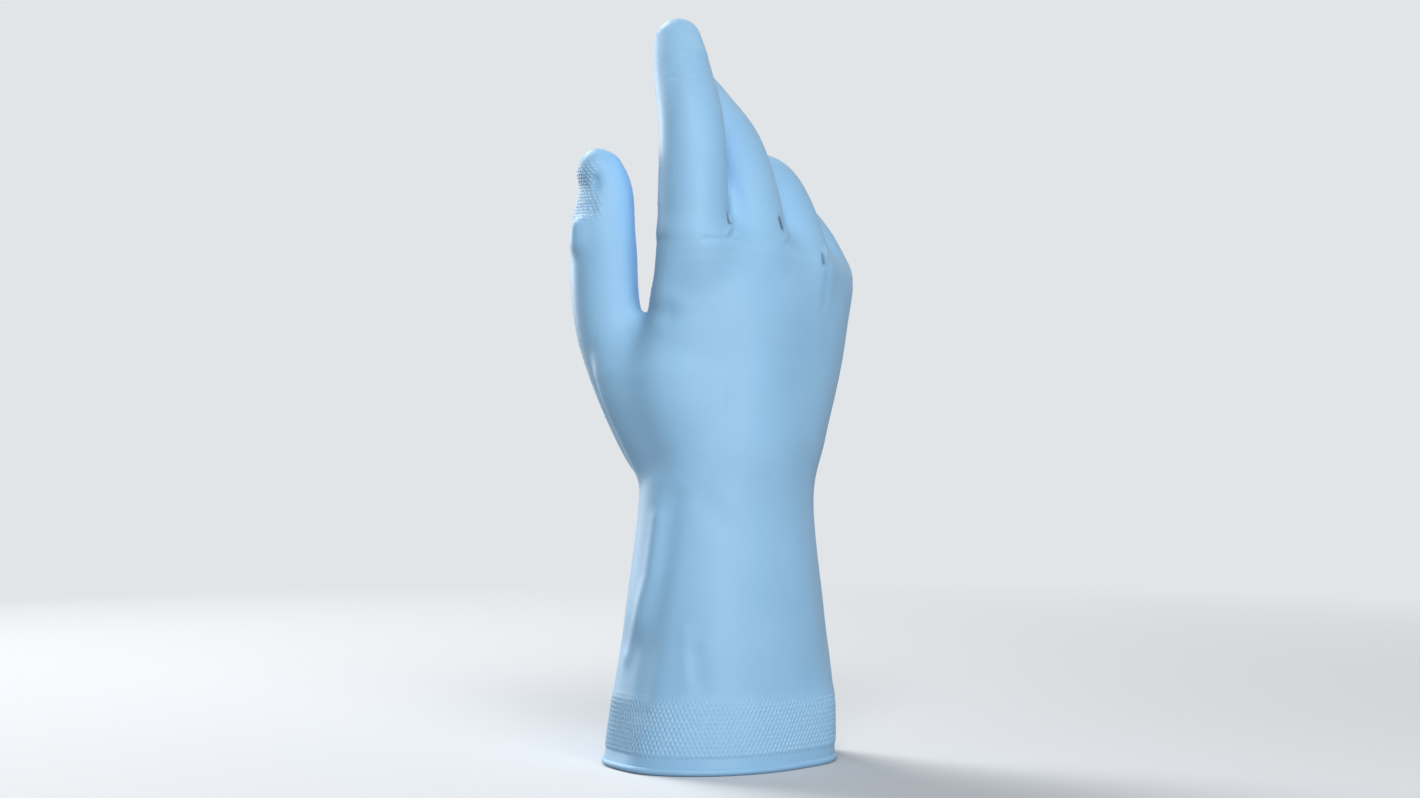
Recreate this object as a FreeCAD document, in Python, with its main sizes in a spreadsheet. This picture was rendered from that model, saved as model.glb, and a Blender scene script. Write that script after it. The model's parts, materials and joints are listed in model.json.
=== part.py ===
import FreeCAD, Part
import math
import os

# A flock-lined household rubber glove for the right hand, standing open on its cuff.
# Millimetres. +Z runs from the cuff's rim up to the fingertips, the thumb is on the -X side,
# the back of the hand faces -Y and the palm faces +Y. The origin is the centre of the opening.
#
# The glove is dipped in one go over a hand-shaped former: a thin latex film with a rolled bead
# at its rim, and a cotton flock lining on the film's inside. Film and lining are each divided
# here at the wrist and where the thumb and the fingers leave the hand.

doc = FreeCAD.newDocument("HouseholdGlove")
sheet = doc.addObject("Spreadsheet::Sheet", "Sizes")

# Walls, from the outside in.
WALLS = {
    "film_wall": 0.45,
    "lining_clearance": 0.2,
    "lining_wall": 0.35,
    "bead_diameter": 3.0,
    "bead_proud": 0.9,
    "bead_flat_angle": 60.0,
    "dome_rise": 9.0,
}

# Cross-sections of the gauntlet and the hand. Each is an ellipse: how far it stands above the
# section below it, half its width along X and half its depth along Y, where its centre lies,
# and how far its little-finger side leans down.
SECTION_FIELDS = ("rise", "half_width", "half_depth", "centre_x", "centre_y", "lean")
SECTIONS = {
    "cuff": (27.4, 48.5, 37.5, 2.5, 0.0, 0.0),
    "sleeve": (30.0, 44.1, 34.5, 3.3, 0.0, 0.0),
    "wrist": (45.0, 39.2, 29.5, 4.3, 0.3, 0.0),
    "heel": (25.0, 43.8, 28.6, 7.6, 1.0, 0.0),
    "palm": (30.0, 48.7, 25.5, 12.2, -0.2, 0.0),
    "knuckle": (30.0, 49.0, 21.5, 14.6, -4.5, 4.0),
    "crown": (13.0, 45.5, 17.5, 15.2, -8.5, 8.0),
}
# The hem stands on the bead, so its level follows from the bead.
HEM_FIELDS = ("half_width", "half_depth", "centre_x", "centre_y")
HEM = (50.0, 40.0, 0.0, 0.0)

# Fingers. Each is a chain of a stem inside the hand and three phalanges. The root is the centre
# of the finger where it leaves the hand. "beside" is its step along X from the root of the
# finger before it, or from the hand's own centre for the index finger and the thumb. "forward"
# and "above" are its steps along Y and Z from the centre of the crown, or of the palm section
# for the thumb. "facing" turns the finger about Z, "splay" leans it sideways, and each bend
# adds to the curl towards the palm.
FINGER_FIELDS = (
    "beside", "forward", "above", "facing", "splay",
    "near_length", "mid_length", "far_length",
    "near_bend", "mid_bend", "far_bend",
    "stem_radius", "root_radius", "mid_radius", "far_radius", "tip_radius",
)
FINGERS = {
    "index": (-34.0, 0.5, 10.6, -14.0, 1.5, 41.0, 26.5, 15.5, 5.0, 19.0, 0.0, 10.0, 13.9, 13.2, 11.7, 9.5),
    "middle": (28.2, -2.0, 13.3, -4.0, 4.0, 35.5, 30.5, 18.0, 27.5, 18.0, 9.0, 10.4, 13.2, 12.8, 10.3, 9.9),
    "ring": (25.5, -2.7, 2.0, 6.0, 5.0, 36.0, 27.0, 18.0, 32.5, 42.0, 26.0, 10.0, 11.4, 11.3, 10.3, 9.4),
    "little": (20.5, 6.7, -3.0, 14.0, 4.5, 31.5, 19.0, 15.0, 40.5, 42.0, 30.0, 8.5, 10.5, 10.5, 9.7, 8.6),
    "thumb": (-45.7, 27.9, 12.5, -75.0, -6.0, 37.0, 22.0, 9.0, -2.0, 13.0, -24.0, 17.0, 14.1, 13.5, 11.3, 9.8),
}
# Where each stem starts inside the hand, measured from the finger's root: nearly straight
# below it for a finger, and at the ball of the thumb for the thumb.
STEM_FIELDS = ("stem_x", "stem_y", "stem_z")
STEMS = {
    "index": (2.4, 1.0, -23.6),
    "middle": (-1.6, 0.1, -24.3),
    "ring": (-2.1, -0.2, -24.0),
    "little": (-5.8, -3.2, -20.0),
    "thumb": (17.0, -12.7, -43.5),
}

# The ball of the thumb runs out inside the heel of the hand, below the thumb's stem: how far
# from the stem's start, and its radius there.
THUMB_HEEL = {
    "thumb_heel_x": 6.5,
    "thumb_heel_y": -6.0,
    "thumb_heel_z": -12.0,
    "thumb_heel_radius": 10.0,
}
# How much wider the thumb is towards the hand than its own round section: the web between
# thumb and index finger.
THUMB_WEB = {
    "thumb_stem_web": 8.0,
    "thumb_root_web": 6.0,
}

# ---------------------------------------------------------------- the sheet of sizes

rows = dict(WALLS)
for section, values in SECTIONS.items():
    for field, value in zip(SECTION_FIELDS, values):
        rows[section + "_" + field] = value
for field, value in zip(HEM_FIELDS, HEM):
    rows["hem_" + field] = value
for finger, values in FINGERS.items():
    for field, value in zip(FINGER_FIELDS + STEM_FIELDS, values + STEMS[finger]):
        rows[finger + "_" + field] = value
rows.update(THUMB_HEEL)
rows.update(THUMB_WEB)

for number, (alias, value) in enumerate(rows.items(), start=1):
    sheet.set("A%d" % number, alias.replace("_", " "))
    sheet.set("B%d" % number, str(value))
    sheet.setAlias("B%d" % number, alias)
doc.recompute()


def size(alias):
    """A value read back from the sheet, as a plain number."""
    return float(getattr(sheet, alias))


# ---------------------------------------------------------------- layers of the wall

# How far each surface lies inside the film's outer face: the aliases that add up to it.
LAYERS = {
    "film_outer": (),
    "film_inner": ("film_wall",),
    "lining_outer": ("film_wall", "lining_clearance"),
    "lining_inner": ("film_wall", "lining_clearance", "lining_wall"),
}


def inset(layer):
    """The layer's depth below the film's outer face."""
    return sum(size(alias) for alias in LAYERS[layer])


def inset_terms(layer):
    """The same depth as the end of an expression."""
    return "".join(" - Sizes." + alias for alias in LAYERS[layer])


# ---------------------------------------------------------------- curves through keys

def weights(step):
    """Catmull-Rom weights of the four keys around a stretch, at step 0 to 1 along it."""
    return (
        0.5 * (-step + 2 * step ** 2 - step ** 3),
        0.5 * (2 - 5 * step ** 2 + 3 * step ** 3),
        0.5 * (step + 4 * step ** 2 - 3 * step ** 3),
        0.5 * (-step ** 2 + step ** 3),
    )


def stations(keys, per_stretch):
    """Every station along a row of keys: its four keys and their weights.

    Past the first and the last key the row is continued by the end key itself.
    """
    padded = [keys[0]] + list(keys) + [keys[-1]]
    result = []
    for start in range(len(keys) - 1):
        for part in range(per_stretch):
            result.append((padded[start:start + 4], weights(part / per_stretch)))
    result.append(([keys[-1]] * 4, (0.0, 1.0, 0.0, 0.0)))
    return result


def blend_terms(aliases, shares):
    """An expression for the weighted sum of some sizes."""
    pairs = zip(aliases, shares)
    return " + ".join("%.6f * Sizes.%s" % (share, alias) for alias, share in pairs)


# ---------------------------------------------------------------- rings and lofts

def loft(name, rings):
    """A closed solid through a row of rings, straight from each ring to the next."""
    solid = doc.addObject("Part::Loft", name)
    solid.Sections = rings
    solid.Solid = True
    solid.Ruled = True
    return solid


def cut(name, base, tool):
    """What is left of base outside tool."""
    piece = doc.addObject("Part::Cut", name)
    piece.Base = base
    piece.Tool = tool
    piece.Refine = False
    return piece


# The hem's level is the bead's height, which the flats on the rolled bead's two sides set.
bead_half_height = size("bead_diameter") / 2 * math.sin(math.radians(size("bead_flat_angle")))
HEM_LEVEL = "(Sizes.bead_diameter * sin(Sizes.bead_flat_angle * 1deg))"


def section_level(section):
    """A section's level as a plain number: the hem's, and every rise up to the section."""
    level = 2 * bead_half_height
    for name in SECTIONS:
        level += size(name + "_rise")
        if name == section:
            return level
    return 2 * bead_half_height


def level_term(section):
    """The same level as an expression."""
    terms = [HEM_LEVEL]
    if section != "hem":
        names = list(SECTIONS)
        terms += ["Sizes.%s_rise" % name for name in names[:names.index(section) + 1]]
    return "(" + " + ".join(terms) + ")"


def section_term(section, field):
    """One field of a section as an expression. The hem has no lean, and stands on the bead."""
    if field == "level":
        return level_term(section)
    if section != "hem":
        return "Sizes.%s_%s" % (section, field)
    if field == "lean":
        return "0"
    return "Sizes.hem_" + field


def hand_ring(name, keys, shares, layer):
    """A ring of the hand: an ellipse blended from four sections, less the layer's depth."""
    ring = doc.addObject("Part::Ellipse", name)

    def blended(field):
        terms = ["%.6f * %s" % (share, section_term(key, field)) for key, share in zip(keys, shares)]
        return " + ".join(terms)

    ring.setExpression("MajorRadius", blended("half_width") + inset_terms(layer))
    ring.setExpression("MinorRadius", blended("half_depth") + inset_terms(layer))
    ring.setExpression("Placement.Base.x", blended("centre_x"))
    ring.setExpression("Placement.Base.y", blended("centre_y"))
    ring.setExpression("Placement.Base.z", blended("level"))
    ring.setExpression("Placement.Rotation.Axis.x", "0")
    ring.setExpression("Placement.Rotation.Axis.y", "1")
    ring.setExpression("Placement.Rotation.Axis.z", "0")
    ring.setExpression("Placement.Rotation.Angle", blended("lean"))
    return ring


DOME_ANGLES = (30.0, 55.0, 75.0)


def crown_ring(name, angle, layer):
    """A ring of the low dome between the finger roots, at an angle above its base."""
    turn = math.radians(angle)
    ring = doc.addObject("Part::Ellipse", name)
    shrink = "%.6f * " % math.cos(turn)
    ring.setExpression("MajorRadius", shrink + "(Sizes.crown_half_width" + inset_terms(layer) + ")")
    ring.setExpression("MinorRadius", shrink + "(Sizes.crown_half_depth" + inset_terms(layer) + ")")
    lean = math.radians(size("crown_lean"))
    rise = (size("dome_rise") - inset(layer)) * math.sin(turn)
    base = FreeCAD.Vector(size("crown_centre_x"), size("crown_centre_y"), section_level("crown"))
    up = FreeCAD.Vector(math.sin(lean), 0, math.cos(lean))
    upright = FreeCAD.Vector(0, 1, 0)
    ring.Placement = FreeCAD.Placement(base + up * rise, FreeCAD.Rotation(upright, size("crown_lean")))
    return ring


GAUNTLET_KEYS = ("hem", "cuff", "sleeve", "wrist")
HAND_KEYS = ("wrist", "heel", "palm", "knuckle", "crown")
ALL_KEYS = GAUNTLET_KEYS + HAND_KEYS[1:]
RINGS_PER_SECTION = 3


def gauntlet(layer):
    """The gauntlet up to the wrist, as a closed solid at one layer."""
    rings = []
    row = stations(ALL_KEYS, RINGS_PER_SECTION)
    last = RINGS_PER_SECTION * (len(GAUNTLET_KEYS) - 1)
    for number, (keys, shares) in enumerate(row[:last + 1]):
        rings.append(hand_ring("gauntlet_%s_ring_%d" % (layer, number), keys, shares, layer))
    return loft("gauntlet_" + layer, rings)


def hand(layer):
    """The hand from the wrist to the dome between the finger roots, at one layer."""
    rings = []
    row = stations(ALL_KEYS, RINGS_PER_SECTION)
    first = RINGS_PER_SECTION * (len(GAUNTLET_KEYS) - 1)
    for number, (keys, shares) in enumerate(row[first:]):
        rings.append(hand_ring("hand_%s_ring_%d" % (layer, number), keys, shares, layer))
    for angle in DOME_ANGLES:
        rings.append(crown_ring("hand_%s_dome_%d" % (layer, angle), angle, layer))
    return loft("hand_" + layer, rings)


# ---------------------------------------------------------------- fingers

RINGS_PER_PHALANX = 2
# The fingers side by side, each placed from the one before it.
ROW_OF_FINGERS = ("index", "middle", "ring", "little")
RADII = ("stem_radius", "root_radius", "mid_radius", "far_radius", "tip_radius")
# The radii of the thumb that are widened by its web; every other joint is round.
WEBBED = {"thumb_stem_radius": "thumb_stem_web", "thumb_root_radius": "thumb_root_web"}


def finger_axes(finger):
    """Unit vectors across the finger, towards the palm and up, before it is bent."""
    facing = math.radians(size(finger + "_facing"))
    across = FreeCAD.Vector(math.cos(facing), math.sin(facing), 0)
    palmward = FreeCAD.Vector(-math.sin(facing), math.cos(facing), 0)
    return across, palmward, FreeCAD.Vector(0, 0, 1)


def finger_root(finger):
    """The centre of the finger where it leaves the hand, stepped across from the one before."""
    section = "palm" if finger == "thumb" else "crown"
    base_x = size("palm_centre_x") if finger == "thumb" else size("knuckle_centre_x")
    if finger in ROW_OF_FINGERS:
        before = ROW_OF_FINGERS[:ROW_OF_FINGERS.index(finger)]
        base_x += sum(size(name + "_beside") for name in before)
    x = base_x + size(finger + "_beside")
    y = size(section + "_centre_y") + size(finger + "_forward")
    z = section_level(section) + size(finger + "_above")
    return FreeCAD.Vector(x, y, z)


def finger_joints(finger):
    """The chain of points: stem, root, middle joint, end joint and the tip's centre.

    The thumb's chain starts one point lower, in the heel of the hand.
    """
    across, palmward, upward = finger_axes(finger)
    splay = math.radians(size(finger + "_splay"))
    point = finger_root(finger)
    stem = point + FreeCAD.Vector(*[size(finger + "_" + field) for field in STEM_FIELDS])
    points = [stem, point]
    if finger == "thumb":
        heel = FreeCAD.Vector(*[size("thumb_heel_" + axis) for axis in "xyz"])
        points.insert(0, stem + heel)
    curl = 0.0
    for phalanx in ("near", "mid", "far"):
        curl += math.radians(size("%s_%s_bend" % (finger, phalanx)))
        along = upward * math.cos(curl) + palmward * math.sin(curl)
        along = along * math.cos(splay) + across * math.sin(splay)
        point = point + along * size("%s_%s_length" % (finger, phalanx))
        points.append(point)
    return points


def finger_radii(finger):
    """The aliases of the radii at the points of the chain."""
    aliases = [finger + "_" + field for field in RADII]
    if finger == "thumb":
        aliases.insert(0, "thumb_heel_radius")
    return aliases


def square_to(point, along, across):
    """A placement at point whose Z runs along the finger and whose X stays near across."""
    rotation = FreeCAD.Rotation(across, along.cross(across), along, "ZXY")
    return FreeCAD.Placement(point, rotation)


def finger(name, layer):
    """A finger from its stem to its round tip, as a closed solid at one layer."""
    across = finger_axes(name)[0]
    joints = finger_joints(name)
    radii = finger_radii(name)
    row = stations(range(len(joints)), RINGS_PER_PHALANX)
    centres = []
    for keys, shares in row:
        centre = FreeCAD.Vector()
        for key, share in zip(keys, shares):
            centre += joints[key] * share
        centres.append(centre)
    rings = []
    for number, (keys, shares) in enumerate(row):
        before = centres[max(number - 1, 0)]
        after = centres[min(number + 1, len(centres) - 1)]
        along = (after - before).normalize()
        ring = doc.addObject("Part::Ellipse", "%s_%s_ring_%d" % (name, layer, number))
        aliases = [radii[key] for key in keys]
        radius = blend_terms(aliases, shares) + inset_terms(layer)
        webs = [(WEBBED[alias], max(share, 0.0)) for alias, share in zip(aliases, shares) if alias in WEBBED]
        half_web = sum(share * size(alias) / 2 for alias, share in webs)
        web = "".join(" + %.6f * Sizes.%s / 2" % (share, alias) for alias, share in webs)
        ring.setExpression("MajorRadius", radius + web)
        ring.setExpression("MinorRadius", radius)
        ring.Placement = square_to(centres[number] + across * half_web, along, across)
        rings.append(ring)
    tip_radius = size(name + "_tip_radius") - inset(layer)
    for angle in DOME_ANGLES:
        turn = math.radians(angle)
        ring = doc.addObject("Part::Circle", "%s_%s_tip_%d" % (name, layer, angle))
        terms = "%.6f * (Sizes.%s_tip_radius%s)" % (math.cos(turn), name, inset_terms(layer))
        ring.setExpression("Radius", terms)
        centre = joints[-1] + along * (tip_radius * math.sin(turn))
        ring.Placement = square_to(centre, along, across)
        rings.append(ring)
    return loft("%s_%s" % (name, layer), rings)


# ---------------------------------------------------------------- the rolled bead

BEAD_STEPS = 4


def bead_side(name, side):
    """The bead's outer (+1) or inner (-1) side: rings round the roll between its two flats."""
    rings = []
    flat = size("bead_flat_angle")
    radius = size("bead_diameter") / 2
    for step in range(BEAD_STEPS + 1):
        angle = math.radians(flat * (2 * step / BEAD_STEPS - 1))
        reach = side * math.cos(angle)
        ring = doc.addObject("Part::Ellipse", "%s_ring_%d" % (name, step))
        offset = " + Sizes.bead_proud - Sizes.bead_diameter / 2 + %.6f * Sizes.bead_diameter / 2" % reach
        ring.setExpression("MajorRadius", "Sizes.hem_half_width" + offset)
        ring.setExpression("MinorRadius", "Sizes.hem_half_depth" + offset)
        level = bead_half_height + radius * math.sin(angle)
        centre = FreeCAD.Vector(size("hem_centre_x"), size("hem_centre_y"), level)
        ring.Placement = FreeCAD.Placement(centre, FreeCAD.Rotation())
        rings.append(ring)
    return loft(name, rings)


# ---------------------------------------------------------------- the pieces

nodes = []


def keep(piece, label):
    """Names a finished piece."""
    piece.Label = label
    nodes.append(piece)


keep(cut("cuff_bead", bead_side("bead_outer", 1), bead_side("bead_inner", -1)), "cuff_bead")

for skin in ("film", "lining"):
    outer = skin + "_outer"
    inner = skin + "_inner"
    keep(cut("gauntlet_" + skin, gauntlet(outer), gauntlet(inner)), "gauntlet_" + skin)
    solid_hand = hand(outer)
    open_hand = solid_hand
    for name in FINGERS:
        bore = finger(name, inner)
        stub = cut("%s_%s_outside_hand" % (name, skin), finger(name, outer), solid_hand)
        label = "thumb_" + skin if name == "thumb" else "%s_finger_%s" % (name, skin)
        keep(cut(label, stub, bore), label)
        open_hand = cut("hand_%s_open_to_%s" % (skin, name), open_hand, bore)
    keep(cut("hand_" + skin, open_hand, hand(inner)), "hand_" + skin)

doc.recompute()

# ---------------------------------------------------------------- checks and files

for item in doc.Objects:
    if "Invalid" in item.State or "Error" in item.State:
        raise RuntimeError("%s did not recompute: %s" % (item.Name, item.State))
for piece in nodes:
    if piece.Shape.isNull() or not piece.Shape.isValid():
        raise RuntimeError("%s has no valid shape" % piece.Label)

os.makedirs("parts", exist_ok=True)
for piece in nodes:
    piece.Shape.exportStep("parts/%s.step" % piece.Label)
    print(piece.Label, "solids", len(piece.Shape.Solids), "volume", round(piece.Shape.Volume, 1))
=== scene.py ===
# %% [markdown]
# # A household rubber glove standing on its cuff
#
# The glove is a right-hand one of sky-blue latex with a pale flock lining. It stands upright on
# the rolled bead of its cuff and keeps the shape of the hand-shaped former it was dipped on: a
# tapering gauntlet, a narrow wrist, a fuller palm, and five fingers that curl a little towards
# the palm.
#
# A glove like this is one film with no flat faces. It could be sculpted, or lofted finger by
# finger and then patched at the crotches, but the patches are where such a model looks wrong. The
# way here is a *distance field*: a function that says, for any point in space, how far outside
# the rubber it lies. Fields of simple forms join softly, as latex does in the crotch between two
# fingers, and the skin is the surface where the field is zero.

import bpy
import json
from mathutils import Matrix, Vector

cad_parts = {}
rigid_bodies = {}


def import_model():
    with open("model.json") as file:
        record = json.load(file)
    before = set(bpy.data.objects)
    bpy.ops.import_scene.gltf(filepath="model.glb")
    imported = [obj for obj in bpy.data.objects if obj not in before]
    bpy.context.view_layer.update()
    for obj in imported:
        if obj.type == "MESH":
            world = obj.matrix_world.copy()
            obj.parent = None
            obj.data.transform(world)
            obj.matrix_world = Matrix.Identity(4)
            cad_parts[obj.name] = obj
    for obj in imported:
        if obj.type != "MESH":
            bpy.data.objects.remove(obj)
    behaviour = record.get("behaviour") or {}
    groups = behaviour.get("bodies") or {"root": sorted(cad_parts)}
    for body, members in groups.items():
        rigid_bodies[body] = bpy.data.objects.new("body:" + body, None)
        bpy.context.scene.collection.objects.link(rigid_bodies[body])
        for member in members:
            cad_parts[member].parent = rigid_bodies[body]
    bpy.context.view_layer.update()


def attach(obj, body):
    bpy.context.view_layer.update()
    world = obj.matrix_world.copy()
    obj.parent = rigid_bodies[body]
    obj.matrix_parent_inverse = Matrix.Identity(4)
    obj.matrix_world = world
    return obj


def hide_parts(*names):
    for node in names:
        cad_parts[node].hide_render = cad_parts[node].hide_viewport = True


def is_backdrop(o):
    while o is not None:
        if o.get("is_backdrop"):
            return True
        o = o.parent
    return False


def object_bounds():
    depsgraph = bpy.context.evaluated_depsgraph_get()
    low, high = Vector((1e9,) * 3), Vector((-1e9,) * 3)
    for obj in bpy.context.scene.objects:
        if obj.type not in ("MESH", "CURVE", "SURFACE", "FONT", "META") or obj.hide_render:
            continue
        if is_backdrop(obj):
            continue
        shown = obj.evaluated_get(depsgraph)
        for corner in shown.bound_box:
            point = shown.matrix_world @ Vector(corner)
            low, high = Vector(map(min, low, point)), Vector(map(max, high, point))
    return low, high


for thing in list(bpy.data.objects):
    bpy.data.objects.remove(thing)
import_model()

# %% Tools and units
import json
import math
import time

import numpy as np
from mathutils import Vector

MM = 0.001
started = time.time()
print("one millimetre is", MM, "m")

# %% [markdown]
# ## The sizes
#
# The latex of such a glove is under half a millimetre thick, and its flock lining a little
# thinner still. The bead at the opening is a roll of the same latex. All sizes here are in
# millimetres; only the finished meshes are in metres, because that is what the frame uses.

# %% Walls and bead
FILM_WALL = 0.45
LINING_CLEARANCE = 0.2
LINING_WALL = 0.35
BEAD_RADIUS = 1.5
BEAD_INSET = 0.6
HEM_LEVEL = 2 * BEAD_RADIUS * math.sin(math.radians(60))
CROWN_RISE = 9.0
print("the hem lies at", round(HEM_LEVEL, 2), "mm")

# %% [markdown]
# ## The hand's sections and the fingers' joints
#
# A former for gloves is drawn as a row of cross-sections, and so is the hand here: an ellipse for
# each level, from the wide hem over the narrow wrist to the crown that carries the fingers. A
# finger is a chain of joints with a radius at each, which is how a hand bends. The last joint of
# a chain is the centre of the round fingertip. Two short tables then hold the whole shape, and
# one number moves one thing.

# %% Sections of the gauntlet and the hand
# level, half width, half depth, centre x, centre y, lean in degrees about +Y
SECTIONS = np.array(
    [
        (HEM_LEVEL, 50.0, 40.0, 0.0, 0.0, 0.0),
        (30.0, 48.5, 37.5, 2.5, 0.0, 0.0),
        (60.0, 44.1, 34.5, 3.3, 0.0, 0.0),
        (105.0, 39.2, 29.5, 4.3, 0.3, 0.0),
        (130.0, 43.8, 28.6, 7.6, 1.0, 0.0),
        (160.0, 48.7, 25.5, 12.2, -0.2, 0.0),
        (190.0, 49.0, 21.5, 14.6, -4.5, 4.0),
        (203.0, 45.5, 17.5, 15.2, -8.5, 8.0),
    ]
)
print("sections from", round(SECTIONS[0, 0], 2), "to", SECTIONS[-1, 0], "mm")

# %% Joints of the fingers
# x, y, z and radius at each joint
FINGERS = {
    "index_finger": np.array(
        [
            (-17.0, -7.0, 190.0, 10.0),
            (-19.4, -8.0, 213.6, 13.9),
            (-17.5, -4.8, 254.4, 13.2),
            (-14.2, 5.5, 278.6, 11.7),
            (-12.3, 11.5, 292.8, 9.5),
        ]
    ),
    "middle_finger": np.array(
        [
            (7.2, -10.4, 192.0, 10.4),
            (8.8, -10.5, 216.3, 13.2),
            (12.4, 5.6, 247.7, 12.8),
            (16.0, 27.1, 269.0, 10.3),
            (18.3, 41.6, 279.5, 9.9),
        ]
    ),
    "ring_finger": np.array(
        [
            (32.2, -11.4, 181.0, 10.0),
            (34.3, -11.2, 205.0, 11.4),
            (35.4, 8.3, 235.2, 11.3),
            (35.0, 34.3, 242.4, 10.3),
            (34.8, 52.0, 239.2, 9.4),
        ]
    ),
    "little_finger": np.array(
        [
            (49.0, -5.0, 180.0, 8.5),
            (54.8, -1.8, 200.0, 10.5),
            (52.3, 18.6, 223.9, 10.5),
            (49.2, 37.2, 226.4, 9.7),
            (47.0, 50.9, 220.6, 8.6),
        ]
    ),
    "thumb": np.array(
        [
            (-10.0, 9.0, 117.0, 10.0),
            (-16.5, 15.0, 129.0, 17.0),
            (-33.5, 27.7, 172.5, 14.1),
            (-35.7, 31.1, 209.3, 13.5),
            (-32.3, 34.4, 230.8, 11.3),
            (-34.5, 34.8, 239.5, 9.8),
        ]
    ),
}
REGIONS = ["hand", *FINGERS]
GAUNTLET_TOP = 105.0
print("joints:", {name: len(joints) for name, joints in FINGERS.items()})

# %% [markdown]
# ## Smooth curves through the joints
#
# Latex has no corners where a finger bends. Straight cones between the joints would show a kink
# at each one, and a Bezier curve needs handles that somebody has to place. A Catmull-Rom curve
# passes through every joint and turns smoothly between them with no handles at all. The same rule
# carries the radius, so a finger swells and narrows without a kink, and it carries the sections
# of the hand from level to level.


# %% A smooth curve through keys
def catmull(keys, u):
    """The curve's value at u, where key number i lies at u = i. With s the fraction of u and
    k0 to k3 the four keys around it, the value is
    0.5 ((-s + 2s^2 - s^3) k0 + (2 - 5s^2 + 3s^3) k1 + (s + 4s^2 - 3s^3) k2 + (-s^2 + s^3) k3)."""
    u = np.clip(np.asarray(u, float), 0, len(keys) - 1)
    i = np.minimum(u.astype(int), len(keys) - 2)
    s = (u - i)[..., None]
    k0, k1 = keys[np.maximum(i - 1, 0)], keys[i]
    k2, k3 = keys[i + 1], keys[np.minimum(i + 2, len(keys) - 1)]
    return 0.5 * (
        (-s + 2 * s**2 - s**3) * k0
        + (2 - 5 * s**2 + 3 * s**3) * k1
        + (s + 4 * s**2 - 3 * s**3) * k2
        + (-(s**2) + s**3) * k3
    )


TABLE_ROWS = 400
SECTION_TABLE = catmull(SECTIONS, np.linspace(0, len(SECTIONS) - 1, TABLE_ROWS))
print("section table", SECTION_TABLE.shape)


# %% [markdown]
# ## The field of the hand
#
# The hand is a stack of ellipses that leans and shifts as it rises, with a low dome on top where
# the fingers stand. A point is first given the section that it lies in. Inside that section the
# ellipse gives q = 1 on the rubber, and dividing by the slope of q turns this into millimetres.


# %% The hand as a stack of ellipses
LEVEL_ROUNDS = 3
TINY = 1e-6


def section_at(level, column):
    """One column of the section table at a level, straight between its rows."""
    return np.interp(level, SECTION_TABLE[:, 0], SECTION_TABLE[:, column])


def hand_distance(p):
    """The signed distance to the hand. With a and b the half width and half depth of the
    section, c the dome's rise and h the height above the crown,
    q = sqrt((x/a)^2 + (y/b)^2 + (h/c)^2) and
    distance = q (q - 1) / |(x/a^2, y/b^2, h/c^2)|."""
    level = p[:, 2].copy()
    for _ in range(LEVEL_ROUNDS):
        lean = np.tan(np.radians(section_at(level, 5)))
        level = p[:, 2] + (p[:, 0] - section_at(level, 3)) * lean
    a, b = section_at(level, 1), section_at(level, 2)
    x, y = p[:, 0] - section_at(level, 3), p[:, 1] - section_at(level, 4)
    h = np.maximum(level - SECTIONS[-1, 0], 0.0)
    q = np.sqrt((x / a) ** 2 + (y / b) ** 2 + (h / CROWN_RISE) ** 2)
    slope = np.sqrt((x / a**2) ** 2 + (y / b**2) ** 2 + (h / CROWN_RISE**2) ** 2)
    return q * (q - 1) / np.maximum(slope, TINY)


PALM_MIDDLE = np.array([[12.2, -0.2, 160.0]])
print("field at the palm's middle:", hand_distance(PALM_MIDDLE).round(1), "mm, minus being inside")


# %% [markdown]
# ## The field of a finger
#
# A finger is a bent tube with a round end. The nearest point of its curve is found, and the
# distance to it less the radius there is the distance to the skin. The search runs over short
# straight runs first, because that is quick for many points at once, and then measures from the
# smooth curve itself.


# %% A finger as a tube
STEPS_PER_JOINT = 7
FAR = 30.0
FINGER_REACH = 16


def tube_distance(p, joints):
    """The distance to the curve c(u) less its radius r(u), at the nearest u, and that u."""
    u_at = np.arange((len(joints) - 1) * STEPS_PER_JOINT + 1) / STEPS_PER_JOINT
    line = catmull(joints, u_at)
    best, nearest = np.full(len(p), 1e9), np.zeros(len(p))
    for i in range(len(line) - 1):
        a, span = line[i, :3], line[i + 1, :3] - line[i, :3]
        t = np.clip((p - a) @ span / (span @ span), 0, 1)
        away = np.linalg.norm(p - a - t[:, None] * span, axis=1)
        d = away - (line[i, 3] + t * (line[i + 1, 3] - line[i, 3]))
        closer = d < best
        best[closer] = d[closer]
        nearest[closer] = u_at[i] + t[closer] / STEPS_PER_JOINT
    c = catmull(joints, nearest)
    return np.linalg.norm(p - c[:, :3], axis=1) - c[:, 3], nearest


def near_box(p, points, reach):
    """Which of p lie in the box round points, grown by reach on every side."""
    low, high = points[:, :3].min(0) - reach, points[:, :3].max(0) + reach
    return ((p > low) & (p < high)).all(1)


def parts_distance(p):
    """One row per region: the hand, then each finger, and FAR where a finger is out of reach."""
    rows = [hand_distance(p)]
    for joints in FINGERS.values():
        d = np.full(len(p), FAR)
        near = near_box(p, joints, joints[:, 3].max() + FINGER_REACH)
        if near.any():
            d[near] = tube_distance(p[near], joints)[0]
        rows.append(d)
    return np.array(rows)


print("fields at the palm's middle:", parts_distance(PALM_MIDDLE)[:, 0].round(1))

# %% [markdown]
# ## Folds and dents
#
# Thin latex never stands quite true: it drags in slanting lines over the wrist, sinks beside the
# thumb's tendon and puckers where two fingers part. Such marks could be bump in the material, but
# then the outline and the shadows would stay smooth. So each fold is a line on the skin with a
# width and a height, and the skin rises or sinks round it by
# height * exp(-(distance / width)^2), which fades out softly on both sides.

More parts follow.
